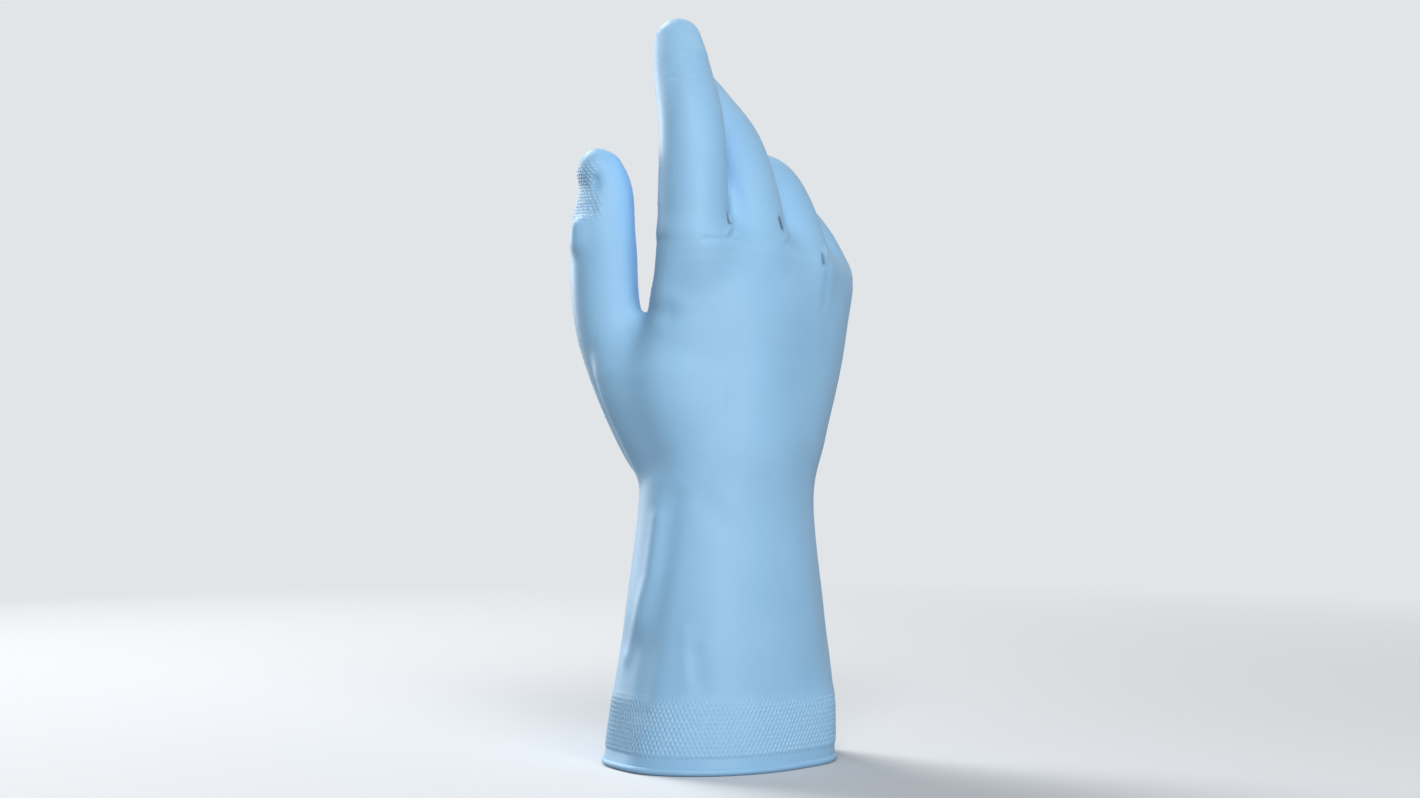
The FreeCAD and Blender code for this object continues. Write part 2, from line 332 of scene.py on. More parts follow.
# %% The folds
# width, height, then the points of the line
FOLDS = [
    # the thumb's heel, flatter than a round tube on the back-of-hand side
    (11.0, -2.4, [(-36, 8, 160), (-35, 4, 142), (-34, -1, 124)]),
    # the swell of the back of the hand below the knuckles
    (19.0, 3.2, [(4, -26, 178), (2, -27, 152), (2, -27, 130)]),
    # the long ridge down the thumb side of the gauntlet, and the valley beside it
    (4.0, 1.1, [(-35, -5, 99), (-38, -4, 77), (-41, 1, 59), (-42.5, 7.5, 45)]),
    (5.0, -1.1, [(-32, -11, 107), (-35, -10, 83), (-39, -9, 60), (-43, -7.5, 42), (-46, -7, 25)]),
    (11.0, -2.5, [(-43.5, 4, 46), (-46.5, 3, 26), (-48, 3, 10)]),
    # the fuller little-finger side of the hem
    (13.0, 2.6, [(29.5, -32, 0), (29.5, -32, 20)]),
    # a shallow V above the band, with a light ridge on its thumb side
    (4.0, -0.55, [(-31, -24.5, 47), (-30.5, -27, 35)]),
    (2.6, 0.4, [(-33, -20.5, 56), (-34.5, -23, 37)]),
    # the soft swell in the middle of the gauntlet
    (15.0, 0.7, [(-21, -27.5, 68), (-24, -28.5, 52)]),
    # faint slanting drags across the wrist
    (5.0, -0.4, [(-23.5, -20.5, 107), (-13, -28, 89)]),
    (5.0, 0.35, [(-12, -29, 107), (2, -34, 84)]),
    (6.0, -0.45, [(22, -27, 118), (30, -26, 84), (35, -25, 50)]),
    # the knuckle line below the index finger and the shadow beside the thumb's web
    (3.0, -0.35, [(-36.5, -6, 181), (-30, -17, 180), (-22, -22, 181)]),
    (4.5, -1.5, [(-37, 1, 182), (-34, -9, 181)]),
    # a ring-shaped wrinkle round the foot of each slot between two fingers
    (1.0, 0.45,
     [(-7.1, -17.6, 220.2), (-8.1, -19.4, 217.7),
      (-10.4, -21.7, 215), (-13.8, -22.9, 213.2)]),
    (1.2, -0.4,
     [(-24.2, -22.1, 210.4), (-19.5, -23, 210.2),
      (-13.5, -23, 210.4), (-8.5, -21.6, 212.6)]),
    (1.0, 0.45,
     [(22.6, -15.8, 218.2), (21.6, -17.9, 215.2),
      (16, -23.6, 212.1), (12.2, -24.9, 210.6)]),
    (1.2, -0.35, [(2.5, -26, 209.4), (9, -26.3, 208.6), (15.5, -25, 209)]),
    (1.0, 0.4, [(38.6, -22.4, 209.5), (37.2, -24.2, 206), (35, -25.6, 203.4)]),
    (2.4, -0.5, [(36.5, -23.5, 200), (36, -24, 186)]),
    # the side of the hand just below the index finger, filled out
    (7.0, 0.5, [(-34.5, -7, 203), (-34.2, -6, 198)]),
    # the thumb: the knuckle on its outer side, the scooped pad above it and two dimples
    (4.6, 2.4, [(-49.5, 31.5, 217), (-49, 31, 211)]),
    (6.0, -1.7, [(-47.5, 35, 233), (-48.5, 33, 226)]),
    (5.0, 1.0, [(-39.5, 33, 245), (-39, 34, 248)]),
    (5.0, 1.3, [(-31.8, 13.7, 178), (-34, 17.7, 209), (-31.2, 22.8, 231)]),
    (2.0, -1.1, [(-41.6, 28.7, 236), (-42.0, 28.4, 234)]),
    (2.0, -1.0, [(-44.6, 26.5, 225.5), (-44.9, 26.3, 223.5)]),
    # the faint crease where the index finger's last joint bends
    (1.3, -0.22, [(-26, -3, 276), (-19, -9, 275), (-10, -8.5, 275)]),
]
print(len(FOLDS), "folds")

# %% [markdown]
# ## The pits between the fingers
#
# At the foot of each slot between two fingers the film is pinched into a small pit. A really
# deep one would be narrower than the skin's own quads, so each is a shallow dent, and the
# material later paints into it the shade that the depth of the real one gives.

# %% The pits
PITS = [
    (1.1, -0.8, [(-9.5, -18.4, 220.6), (-9.7, -19, 217.8)]),
    (1.1, -0.8, [(14.3, -22.2, 219.8), (15.0, -22.4, 216.4)]),
    (1.0, -0.4, [(34.6, -24.8, 205.8), (34.1, -25.8, 202.6)]),
]
FOLD_REACH = 2.6  # widths, past which a fold is too faint to count


def fold_height(p, folds=(*FOLDS, *PITS)):
    """The sum over the folds of height exp(-(d / width)^2), d the distance to the fold's line."""
    total = np.zeros(len(p))
    for width, height, line in folds:
        line = np.asarray(line, float)
        near = near_box(p, line, FOLD_REACH * width)
        if not near.any():
            continue
        q, best = p[near], np.full(near.sum(), 1e9)
        for a, b in zip(line[:-1], line[1:]):
            span = b - a
            t = np.clip((q - a) @ span / (span @ span), 0, 1)
            best = np.minimum(best, np.linalg.norm(q - a - t[:, None] * span, axis=1))
        total[near] += height * np.exp(-((best / width) ** 2))
    return total


pit_foot = np.array([PITS[0][2][0]], float)
print("the first pit is", round(-float(fold_height(pit_foot, PITS)[0]), 2), "mm deep")

# %% [markdown]
# ## One film from six forms
#
# Dipped latex runs into every corner and leaves it rounded, tight between two fingertips and wide
# in the web of the thumb. A plain union would leave a crease there. The soft union used here
# takes the nearer of two distances and lowers it a little where both are alike, which is a
# fillet; a number sets how wide it is, and that number itself changes with the height.
#
# The thumb's web is widest on the back of the hand. So its fillet has a part that grows with the
# distance towards the back, on the side of the thumb.


# %% The soft union
def smooth_step(x, low, high):
    """0 below low, 1 above high, and 3 s^2 - 2 s^3 between, with s the share of the way."""
    s = np.clip((x - low) / (high - low), 0, 1)
    return s * s * (3 - 2 * s)


def bump_step(z, rise, fall):
    """A smooth rise over the levels of rise, times a smooth fall over the levels of fall."""
    return smooth_step(z, *rise) * (1 - smooth_step(z, *fall))


def soft_min(a, b, k):
    """A union with a fillet about k wide: min(a, b) - k h (1 - h) where a and b are alike,
    with h = 0.5 + 0.5 (b - a) / k, held between 0 and 1."""
    h = np.clip(0.5 + 0.5 * (b - a) / k, 0, 1)
    return b + (a - b) * h - k * h * (1 - h)


print("a 4 mm fillet fills", -float(soft_min(0.0, 0.0, 4.0)), "mm where two skins meet")

# %% The film's field
# fillet widths in mm, and the levels between which each one rises and falls
FINGER_FILLET, SLOT_FILLET, SLOT_LEVELS = 1, 8, (213, 262)
CROWN_FILLET, CROWN_SWELL, CROWN_LEVELS = 4, 5.5, ((185, 210), (216, 242))
WEB_FILLET, WEB_SWELL, WEB_LEVELS = 4, 10, ((115, 165), (172, 198))
BACK_SWELL, BACK_LEVELS, BACK_REACH = 20, ((98, 150), (155, 183)), (2, 13)
BACK_X, BACK_Y = -0.616, -0.788  # towards the back of the hand, on the thumb's side


def film_distance(p):
    """The soft union of the hand and the fingers, less the height of the folds."""
    d = parts_distance(p)
    z = p[:, 2]
    slot = FINGER_FILLET + SLOT_FILLET * (1 - smooth_step(z, *SLOT_LEVELS))
    fingers = soft_min(soft_min(d[1], d[2], slot), soft_min(d[3], d[4], slot), slot)
    body = soft_min(d[0], fingers, CROWN_FILLET + CROWN_SWELL * bump_step(z, *CROWN_LEVELS))
    toward_back = BACK_X * p[:, 0] + BACK_Y * p[:, 1]
    web = WEB_FILLET + WEB_SWELL * bump_step(z, *WEB_LEVELS)
    web += BACK_SWELL * bump_step(z, *BACK_LEVELS) * smooth_step(toward_back, *BACK_REACH)
    return soft_min(body, d[5], web) - fold_height(p)


print("field at the palm's middle:", round(float(film_distance(PALM_MIDDLE)[0]), 1), "mm")


# %% Slope and settling
SLOPE_STEP = 0.05
LARGEST_MOVE = 0.6
SMALLEST_SLOPE = 0.4


def slope_of(field, p, step=SLOPE_STEP):
    """The unit gradient of the field by central differences, which is the outward normal of
    the skin, and the gradient's length."""
    g = np.empty_like(p)
    for axis in range(3):
        e = np.zeros(3)
        e[axis] = step
        g[:, axis] = field(p + e) - field(p - e)
    size = np.linalg.norm(g, axis=1, keepdims=True)
    return g / np.maximum(size, 1e-12), size[:, 0] / (2 * step)


def settle(p, rounds=3):
    """Moves points along the gradient until the field is zero: p - f g / |g|^2."""
    for _ in range(rounds):
        n, size = slope_of(film_distance, p)
        move = film_distance(p) / np.maximum(size, SMALLEST_SLOPE)
        p = p - np.clip(move, -LARGEST_MOVE, LARGEST_MOVE)[:, None] * n
    return p


tip = settle(np.array([[-12.3, 11.5, 302.0]]))
print("the index fingertip is at", tip[0].round(2), "mm")


# %% [markdown]
# ## From field to skin
#
# A field has no faces yet. Marching cubes would cut it into slivers of triangles; a *surface net*
# gives even quads instead, which split well later. The field is sampled on a lattice. Every
# lattice cell that the skin passes through gets one point, at the mean of the places where the
# cell's edges cross the skin, and every crossed edge gives one quad between the four cells around
# it. The points then slide along the gradient onto the skin itself.


# %% A surface net
def surface_net(f, low, step):
    """One point per crossed cell, the mean of its crossings, each at the share f0 / (f0 - f1) of
    its edge; one quad per crossed edge, facing outward, the way that f grows."""
    cells = np.array(f.shape) - 1
    total, count = np.zeros((cells.prod(), 3)), np.zeros(cells.prod())
    quads = []
    for axis in range(3):
        b, c = (axis + 1) % 3, (axis + 2) % 3
        first, second = [slice(None)] * 3, [slice(None)] * 3
        first[axis], second[axis] = slice(None, -1), slice(1, None)
        f0, f1 = f[tuple(first)], f[tuple(second)]
        at = np.argwhere((f0 < 0) != (f1 < 0))
        v0, v1 = f0[tuple(at.T)], f1[tuple(at.T)]
        where = at.astype(float)
        where[:, axis] += v0 / (v0 - v1)
        corners = []
        for db, dc in ((-1, -1), (0, -1), (0, 0), (-1, 0)):
            cell = at.copy()
            cell[:, b] += db
            cell[:, c] += dc
            good = ((cell >= 0) & (cell < cells)).all(1)
            name = np.where(good, np.ravel_multi_index(np.clip(cell, 0, cells - 1).T, cells), -1)
            for k in range(3):
                total[:, k] += np.bincount(name[good], where[good, k], len(count))
            count += np.bincount(name[good], minlength=len(count))
            corners.append(name)
        corners = np.array(corners).T
        outward = v0 < 0
        corners[~outward] = corners[~outward, ::-1]
        quads.append(corners[(corners >= 0).all(1)])
    quads = np.concatenate(quads)
    used, faces = np.unique(quads, return_inverse=True)
    points = low + step * total[used] / count[used, None]
    return points, faces.reshape(-1, 4)


BLOCK = 8
SAFETY = 1.35  # how much steeper than 1 the field may be
CHUNK = 400000


def sample_field(field, low, high, step):
    """The field on a lattice, worked out only in the blocks that the skin can pass through:
    those whose middle is nearer to it than half their diagonal, times SAFETY."""
    size = np.ceil((high - low) / step).astype(int) + 1
    block = BLOCK
    f = np.full(-(-size // block) * block, FAR)
    starts = np.stack(
        np.meshgrid(*[np.arange(0, n, block) for n in f.shape], indexing="ij"), -1
    ).reshape(-1, 3)
    rough = field(low + (starts + (block - 1) / 2) * step)
    near = np.abs(rough) < SAFETY * math.sqrt(3) * (block / 2 + 1) * step
    inside = np.stack(np.meshgrid(*[np.arange(block)] * 3, indexing="ij"), -1).reshape(1, -1, 3)
    for start, d in zip(starts[~near], rough[~near]):
        f[tuple(slice(k, k + block) for k in start)] = d
    at = (starts[near][:, None] + inside).reshape(-1, 3)
    for part in np.array_split(at, max(1, len(at) // CHUNK)):
        f[tuple(part.T)] = field(low + part * step)
    return f


print("blocks of", BLOCK**3, "lattice points")


# %% The skin of the hand and the fingers
SKIN_STEP = 1.15
SKIN_LOW = np.array([-56.0, -36.0, GAUNTLET_TOP - SKIN_STEP / 2])
SKIN_HIGH = np.array([69.0, 65.0, 306.0])
lattice = sample_field(film_distance, SKIN_LOW, SKIN_HIGH, SKIN_STEP)
base_points, base_quads = surface_net(lattice, SKIN_LOW, SKIN_STEP)
base_points = settle(base_points)
base_normals = slope_of(film_distance, base_points)[0]
base_region = parts_distance(base_points[base_quads].mean(1)).argmin(0)
print("skin", len(base_points), "points,", len(base_quads), "quads")
print(round(time.time() - started, 1), "s")
print({name: int((base_region == i).sum()) for i, name in enumerate(REGIONS)})

# %% [markdown]
# ## Grip patterns
#
# The former's surface is engraved, so the glove has small raised pebbles where it holds things:
# on the thumb's scooped pad, round the index fingertip, and, coarser, over the finger pads and
# the palm. A bump texture would vanish at the outline, so the pebbles are real relief. They are
# three waves crossing at 60 degrees, which gives a honeycomb of round tops without placing any.
# A finger is unrolled for this: one coordinate runs along it and the other round it.


# %% Pebbles
SIN_60 = 0.866
COARSE_PITCH = 2.3
PEBBLE_SHARPNESS = 1.3


def pebbles(u, v, pitch):
    """Three waves at 60 degrees, w = cos a + cos b + cos c, which runs from -1.5 to 3, made
    round: ((w + 1.5) / 4.5)^1.3."""
    k = 2 * np.pi / pitch / SIN_60
    w = np.cos(k * v) + np.cos(k * (0.5 * v + SIN_60 * u)) + np.cos(k * (0.5 * v - SIN_60 * u))
    return np.clip((w + 1.5) / 4.5, 0, 1) ** PEBBLE_SHARPNESS


print("top of a pebble:", float(pebbles(0.0, 0.0, COARSE_PITCH)))


# %% Unrolling a finger
ARC_ROWS = 200
AHEAD = 0.05


def unroll(p, joints):
    """For each point: the length along the finger, the angle round it, which is 0 on the +X side
    and 90 degrees on the palm side, and the finger's whole length. The angle is
    atan2(away . front, away . side), with away the step from the curve to the point."""
    nearest = tube_distance(p, joints)[1]
    table_u = np.linspace(0, len(joints) - 1, ARC_ROWS)
    table = catmull(joints, table_u)[:, :3]
    arc = np.concatenate([[0], np.cumsum(np.linalg.norm(np.diff(table, axis=0), axis=1))])
    c = catmull(joints, nearest)[:, :3]
    ahead = catmull(joints, nearest + AHEAD)[:, :3] - catmull(joints, nearest - AHEAD)[:, :3]
    ahead /= np.linalg.norm(ahead, axis=1, keepdims=True)
    side = np.array([1.0, 0.0, 0.0]) - ahead[:, :1] * ahead
    side /= np.linalg.norm(side, axis=1, keepdims=True)
    front = np.cross(ahead, side)
    away = p - c
    past = np.maximum((away * ahead).sum(1), 0)
    angle = np.arctan2((away * front).sum(1), (away * side).sum(1))
    return np.interp(nearest, table_u, arc) + past, angle, arc[-1]


index_length = unroll(tip, FINGERS["index_finger"])[2]
print("the index finger's curve is", round(float(index_length), 1), "mm long")


# %% Where the grip lies
THUMB, INDEX = REGIONS.index("thumb"), REGIONS.index("index_finger")
THUMB_PITCH, THUMB_STRETCH = 1.55, 1.25
TIP_PITCH = 1.5
ROUND_FINGER = 12.0  # the radius that turns an angle into a length
# between which two values each share rises: levels, sides and lengths in mm, facings as the
# matching part of the normal
PAD_LOW, PAD_HIGH, PAD_SIDE, PAD_FACING = (218, 222), (241, 246), (40.5, 43.0), (0.35, 0.6)
TIP_START, TIP_FULL, TIP_FACING = 12, 8, (-0.45, 0.0)
FINGER_FACING, FINGER_START = (0.25, 0.6), (30, 36)
PALM_FACING, PALM_LOW, PALM_HIGH = (0.35, 0.6), (128, 136), (192, 198)


def fine_grip(p, n, nearest):
    """The fine pebbles of the thumb's pad and the index fingertip: height and share, the share
    being a product of smooth steps in level, side and facing."""
    fine, fine_share = np.zeros(len(p)), np.zeros(len(p))
    on = nearest == THUMB
    q = p[on]
    share = smooth_step(q[:, 2], *PAD_LOW) * smooth_step(-q[:, 0], *PAD_SIDE)
    share *= smooth_step(-n[on, 0], *PAD_FACING) * (1 - smooth_step(q[:, 2], *PAD_HIGH))
    fine[on] = pebbles(q[:, 1] / THUMB_STRETCH, q[:, 2], THUMB_PITCH)
    fine_share[on] = share
    on = nearest == INDEX
    along, angle, length = unroll(p[on], FINGERS["index_finger"])
    share = smooth_step(along, length - TIP_START, length - TIP_FULL)
    share *= smooth_step(n[on, 0], *TIP_FACING)
    fine[on] = pebbles(angle * ROUND_FINGER, along, TIP_PITCH)
    fine_share[on] = share
    return fine, fine_share


def grip(p, n):
    """Fine and coarse pebbles, each with its height, from 0 to 1, and how strongly it is
    present, from 0 to 1. The coarse ones lie where the skin faces the palm's side."""
    nearest = parts_distance(p).argmin(0)
    fine, fine_share = fine_grip(p, n, nearest)
    coarse, coarse_share = np.zeros(len(p)), np.zeros(len(p))
    for i, name in enumerate(REGIONS[1:], 1):
        on = nearest == i
        along, angle, _ = unroll(p[on], FINGERS[name])
        coarse[on] = pebbles(angle * ROUND_FINGER, along, COARSE_PITCH)
        coarse_share[on] = smooth_step(np.sin(angle), *FINGER_FACING)
        coarse_share[on] *= smooth_step(along, *FINGER_START)
    on = nearest == 0
    q = p[on]
    coarse[on] = pebbles(q[:, 0], q[:, 2], COARSE_PITCH)
    coarse_share[on] = smooth_step(n[on, 1], *PALM_FACING) * smooth_step(q[:, 2], *PALM_LOW)
    coarse_share[on] *= 1 - smooth_step(q[:, 2], *PALM_HIGH)
    coarse_share *= 1 - fine_share
    return fine, fine_share, coarse, coarse_share


print("the fine grip lies on", REGIONS[THUMB], "and", REGIONS[INDEX])


# %% [markdown]
# ## Finer where it matters
#
# Pebbles a millimetre and a half apart need quads a few tenths wide, but a whole hand that fine
# would have millions of them. So quads are split in four only where there is small relief: once
# under the coarse grip and round the slots between the fingers, and once more under the fine grip
# and in the pits. A quad next to a split one takes the new edge points into its own outline, so
# the skin stays closed.

# %% Splitting quads
KEY = 10**8  # two point numbers in one: smaller * KEY + larger
split_edges = {}


def split_in_four(points, quads):
    """Adds a point at the mean of every edge and of every quad, and slides them onto the skin."""
    edges = np.concatenate([quads[:, [k, (k + 1) % 4]] for k in range(4)])
    key = edges.min(1) * KEY + edges.max(1)
    unique, back = np.unique(key, return_inverse=True)
    middle = np.arange(len(unique)) + len(points)
    split_edges.update(zip(unique.tolist(), middle.tolist()))
    back = middle[back.reshape(4, -1)]
    centre = np.arange(len(quads)) + len(points) + len(unique)
    ends = np.stack([unique // KEY, unique % KEY], 1)
    fresh = settle(np.concatenate([points[ends].mean(1), points[quads].mean(1)]), 2)
    small = [np.stack([quads[:, k], back[k], centre, back[(k + 3) % 4]], 1) for k in range(4)]
    return np.concatenate([points, fresh]), np.concatenate(small)


def edge_chain(a, b):
    """The points from a up to, but not including, b, with every split between them."""
    m = split_edges.get(min(a, b) * KEY + max(a, b))
    return [a] if m is None else edge_chain(a, m) + edge_chain(m, b)


NARROW = 1.5


def near_pits(p, reach):
    """Which points lie within reach of one of the folds that are narrower than NARROW."""
    close = np.zeros(len(p), bool)
    for width, _, line in (*FOLDS, *PITS):
        if width < NARROW:
            close |= near_box(p, np.asarray(line, float), reach)
    return close


print("narrow folds:", sum(width < NARROW for width, _, _ in (*FOLDS, *PITS)))

# %% Two rounds of splitting
ANY_GRIP = 0.01
WIDE_REACH, CLOSE_REACH = 3.0, 1.2
points, layers = base_points, []
quads, region = base_quads, base_region
for level in range(2):
    middle = points[quads].mean(1)
    normal = slope_of(film_distance, middle)[0]
    _, fine_share, _, coarse_share = grip(middle, normal)
    if level == 0:
        wanted = (fine_share + coarse_share > ANY_GRIP) | near_pits(middle, WIDE_REACH)
        for _ in range(2):
            touched = np.zeros(len(points), bool)
            touched[quads[wanted].ravel()] = True
            wanted |= touched[quads].any(1)
    else:
        wanted = (fine_share > ANY_GRIP) | near_pits(middle, CLOSE_REACH)
    layers.append((quads[~wanted], region[~wanted]))
    points, small = split_in_four(points, quads[wanted])
    quads, region = small, np.tile(region[wanted], 4)
    print("level", level + 1, int(wanted.sum()), "quads split")
layers.append((quads, region))

# %% Faces that stay closed
MOST_CORNERS = 16
faces = {size: ([], []) for size in range(4, MOST_CORNERS + 1)}
split_keys = np.array(sorted(split_edges) or [-1])
for quads, region in layers:
    edges = np.stack([quads, np.roll(quads, -1, axis=1)], -1)
    key = edges.min(-1) * KEY + edges.max(-1)
    mixed = np.isin(key, split_keys).any(1)
    faces[4][0].append(quads[~mixed])
    faces[4][1].append(region[~mixed])
    for quad, owner in zip(quads[mixed].tolist(), region[mixed].tolist()):
        outline = sum((edge_chain(quad[k], quad[(k + 1) % 4]) for k in range(4)), [])
        faces[len(outline)][0].append([outline])
        faces[len(outline)][1].append([owner])
faces = {k: (np.concatenate(f), np.concatenate(o)) for k, (f, o) in faces.items() if f}
print("faces by corners:", {k: len(f) for k, (f, o) in faces.items()})
print(round(time.time() - started, 1), "s")


# %% [markdown]
# ## From arrays to pieces
#
# Blender's own tools for joining points into faces take one face at a time. Whole arrays go in
# much faster through foreach_set. A piece is its points in metres, its faces as rows of equal
# length, and a normal for every point. The normals are given, and not left to Blender, so that
# two pieces which meet along an edge are shaded alike there and the border doesn't show.


# %% Arrays into a mesh
def make_piece(name, points, face_groups, normals=None, values=None):
    """A mesh object from points in mm and face_groups, a list of arrays with one face per row;
    values holds numbers for each point by name, for the material."""
    mesh = bpy.data.meshes.new(name)
    sizes = np.concatenate([np.full(len(g), g.shape[1]) for g in face_groups])
    corners = np.concatenate([g.ravel() for g in face_groups]).astype(np.int32)
    mesh.vertices.add(len(points))
    mesh.vertices.foreach_set("co", (points * MM).astype(np.float32).ravel())
    mesh.loops.add(len(corners))
    mesh.loops.foreach_set("vertex_index", corners)
    mesh.polygons.add(len(sizes))
    starts = np.concatenate([[0], np.cumsum(sizes)[:-1]]).astype(np.int32)
    mesh.polygons.foreach_set("loop_start", starts)
    mesh.update(calc_edges=True)
    mesh.polygons.foreach_set("use_smooth", np.ones(len(sizes), bool))
    for key, value in (values or {}).items():
        layer = mesh.attributes.new(key, "FLOAT", "POINT")
        layer.data.foreach_set("value", np.asarray(value, np.float32))
    if normals is not None:
        mesh.normals_split_custom_set_from_vertices(normals.astype(np.float32))
    piece = bpy.data.objects.new(name, mesh)
    bpy.context.scene.collection.objects.link(piece)
    print(name, len(points), "points,", int((sizes - 2).sum()), "triangles")
    return piece


def point_normals(points, face_groups):
    """The area-weighted mean of the face normals around each point. A face's area vector is half
    the sum of the cross products of its neighbouring corners."""
    total = np.zeros_like(points)
    for group in face_groups:
        size = group.shape[1]
        corner = points[group] - points[group[:, :1]]
        flat = sum(np.cross(corner[:, k], corner[:, (k + 1) % size]) for k in range(size))
        for k in range(size):
            for axis in range(3):
                total[:, axis] += np.bincount(group[:, k], flat[:, axis], len(points))
    return total / np.maximum(np.linalg.norm(total, axis=1, keepdims=True), 1e-12)


def border_edges(quads):
    """The directed edges that only one quad has, found as those whose reverse is missing."""
    edges = np.concatenate([quads[:, [k, (k + 1) % 4]] for k in range(4)])
    there, back = edges[:, 0] * KEY + edges[:, 1], edges[:, 1] * KEY + edges[:, 0]
    return edges[~np.isin(there, back)]


wrist_edges = border_edges(base_quads)
print("open edges of the whole skin:", len(wrist_edges))
print("the highest of them is at", round(float(base_points[wrist_edges][..., 2].max()), 1), "mm")

# %% [markdown]
# ## Painted highlights and painted pit shade
#
# The pebbles now push the skin outwards. Two numbers go with every point into the material.
# One says how far up a pebble a point sits, and a highlight is painted paler on the tops by it.
# The other says how deep in a pit it sits, and shade is painted dark into the pit by it, because
# little light comes back out of one. As numbers on the points they stay with the rubber when it
# moves, which a pattern painted in space would not.

# %% Grip on the skin
FINE_HEIGHT, COARSE_HEIGHT = 0.34, 0.15
# the share of the painted highlight that the coarse pebbles' tops get
COARSE_HIGHLIGHT = 0.4
# a pit this deep gets the full painted shade
FULL_PIT = -0.62  # the height in mm at which a pit is quite dark
WRIST_ZONE = 3  # how far above the gauntlet the hand takes the field's own normals
slopes = slope_of(film_distance, points)[0]
# painted shade, darker the deeper a point lies in a pit between the fingers
top_highlight, pit_shade = np.zeros(len(points)), np.clip(fold_height(points, PITS) / FULL_PIT, 0, 1)
fine, fine_share, coarse, coarse_share = grip(points, slopes)
relief = FINE_HEIGHT * fine * fine_share + COARSE_HEIGHT * coarse * coarse_share
points = points + relief[:, None] * slopes
# a painted highlight, paler towards each pebble's top
top_highlight = fine * fine_share + COARSE_HIGHLIGHT * coarse * coarse_share
shades = point_normals(points, [f for f, _ in faces.values()])
at_wrist = points[:, 2] < GAUNTLET_TOP + WRIST_ZONE
shades[at_wrist] = slopes[at_wrist]
print("raised and sunk points:", int((top_highlight > ANY_GRIP).sum()), int((pit_shade > ANY_GRIP).sum()))


# %% [markdown]
# ## The hand, the thumb and the fingers
#
# The real film is one skin, and it is shared out here between the hand and the five fingers, so
# that each can be found by name. Each share is closed as a real film: the outer skin, a plain
# inner skin one film wall further in, and a narrow rim between them. A Solidify modifier would do
# this too, but it would carry every pebble through to the inside, where there are none.


# %% Films of the hand and the fingers
def film_piece(name, number):
    """The closed film of one region. Its inner skin is each point less wall times normal, and
    its rims join the two skins along every border edge."""
    outer = [f[owner == number] for f, owner in faces.values() if (owner == number).any()]
    inner = base_quads[base_region == number]
    rims = {}
    for a, b in border_edges(inner).tolist():
        row = [b] + edge_chain(a, b)[:0:-1] + [a, -a - 1, -b - 1]
        rims.setdefault(len(row), []).append(row)
    rims = [np.array(r) for r in rims.values()]
    used = np.unique(np.concatenate([f.ravel() for f in outer]))
    used_inner = np.unique(inner)
    place = np.zeros(len(points), int)
    place[used] = np.arange(len(used))
    place_inner = np.zeros(len(base_points), int)
    place_inner[used_inner] = np.arange(len(used_inner)) + len(used)
    rims = [
        np.where(r >= 0, place[np.maximum(r, 0)], place_inner[np.maximum(-r - 1, 0)]) for r in rims
    ]
    inner_points = base_points[used_inner] - FILM_WALL * base_normals[used_inner]
    piece = make_piece(
        "latex_" + name,
        np.concatenate([points[used], inner_points]),
        [place[f] for f in outer] + [place_inner[inner[:, ::-1]]] + rims,
        np.concatenate([shades[used], -base_normals[used_inner]]),
        # the painted highlight and the painted pit shade, none on the inner skin
        {
            "top_highlight": np.append(top_highlight[used], 0 * used_inner),
            "pit_shade": np.append(pit_shade[used], 0 * used_inner),
        },
    )
    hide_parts(name + "_film")
    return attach(piece, "root")


film_pieces = [film_piece(name, i) for i, name in enumerate(REGIONS)]
print(round(time.time() - started, 1), "s")

# %% [markdown]
# ## The gauntlet
#
# The gauntlet covers the forearm, and wet hands pull the glove on by it. So near the opening it
# has an embossed band: two families of slanting ridges that cross in diamonds. Ridges this fine
# need points in straight rows, which a surface net doesn't give. The gauntlet is therefore a grid
# of angle and height. Each grid point starts on the section's ellipse and slides along its own
# ray until the field is zero, so the gauntlet and the hand are still one surface.

# %% Points on the gauntlet
ARC_STEPS = 4001
RAY_ROUNDS, RAY_STEP, SMALLEST_RISE = 4, 0.05, 0.3


def ring_angles(count):
    """Angles of an ellipse of the hem's shape at equal steps of arc length."""
    t = np.linspace(0, 2 * np.pi, ARC_STEPS)
    x, y = SECTIONS[0, 1] * np.cos(t), SECTIONS[0, 2] * np.sin(t)
    arc = np.concatenate([[0], np.cumsum(np.hypot(np.diff(x), np.diff(y)))])
    return np.interp(np.arange(count) / count * arc[-1], arc, t)


def on_skin(angles, levels, depth=0.0):
    """Points of the skin at these angles (columns) and levels (rows), depth mm inside it. The
    reach along each ray falls by field / slope, four times."""
    t, z = np.meshgrid(angles, levels)
    t, z = t.ravel(), z.ravel()
    centre = np.stack([section_at(z, 3), section_at(z, 4), z], 1)
    ray = np.stack([section_at(z, 1) * np.cos(t), section_at(z, 2) * np.sin(t), 0 * z], 1)
    reach = np.linalg.norm(ray, axis=1)
    ray /= reach[:, None]
    for _ in range(RAY_ROUNDS):
        here = film_distance(centre + reach[:, None] * ray) + depth
        there = film_distance(centre + (reach + RAY_STEP)[:, None] * ray) + depth
        reach -= here / np.maximum((there - here) / RAY_STEP, SMALLEST_RISE)
    return centre + reach[:, None] * ray


hem_ring = on_skin(ring_angles(180), [HEM_LEVEL])
print("the hem is", np.ptp(hem_ring, axis=0).round(1)[:2], "mm wide and deep")


# %% The diamonds of the band
DIAMONDS_ROUND = 146
DIAMOND_HEIGHT = 3.6
RIDGE_HEIGHT = 0.5
# the share of the painted highlight on the ridges' tops
RIDGE_HIGHLIGHT = 0.35
PLAIN_FROM = 45
BAND_LOW, BAND_HIGH = 7.0, 32.0


